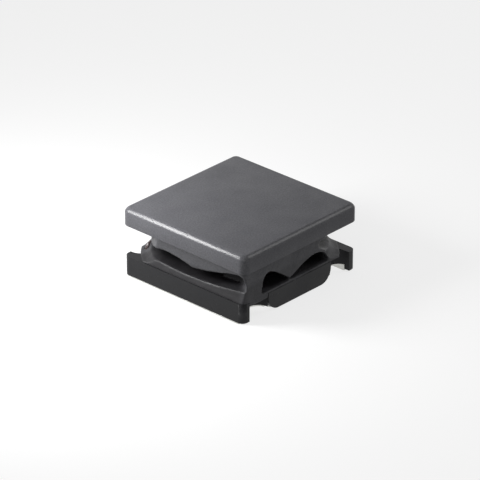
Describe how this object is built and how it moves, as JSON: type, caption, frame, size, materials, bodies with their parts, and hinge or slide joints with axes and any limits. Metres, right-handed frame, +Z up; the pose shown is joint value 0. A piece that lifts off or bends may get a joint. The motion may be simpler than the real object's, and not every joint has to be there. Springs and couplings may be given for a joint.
{
  "type": "shielded surface-mount power inductor",
  "caption": "Low square power inductor for reflow soldering: ferrite drum core, wire winding and magnetic resin coat between two flanges, with a flat solder terminal under each end.",
  "frame": {"origin": "middle of the seat plane under the two terminals", "axes": "+X from the left terminal to the right one, +Y towards the side where both wire ends go down, +Z up to the plain top flange"},
  "size_m": [0.004, 0.004, 0.0018],
  "materials": {
    "ferrite": "ground and tumbled ferrite, dark grey, half gloss",
    "magnetic_resin": "cured epoxy filled with magnetic powder, charcoal, satin",
    "enamelled_wire": "copper wire under clear brown enamel",
    "terminal_plating": "tin plating over a thin silver layer, dull",
    "solder": "lead-free solder, satin"
  },
  "bodies": {
    "root": {"drum_core": "ferrite", "winding": "enamelled_wire", "resin_coat": "magnetic_resin", "left_terminal": "terminal_plating", "right_terminal": "terminal_plating", "left_solder": "solder", "right_solder": "solder"}
  },
  "joints": []
}
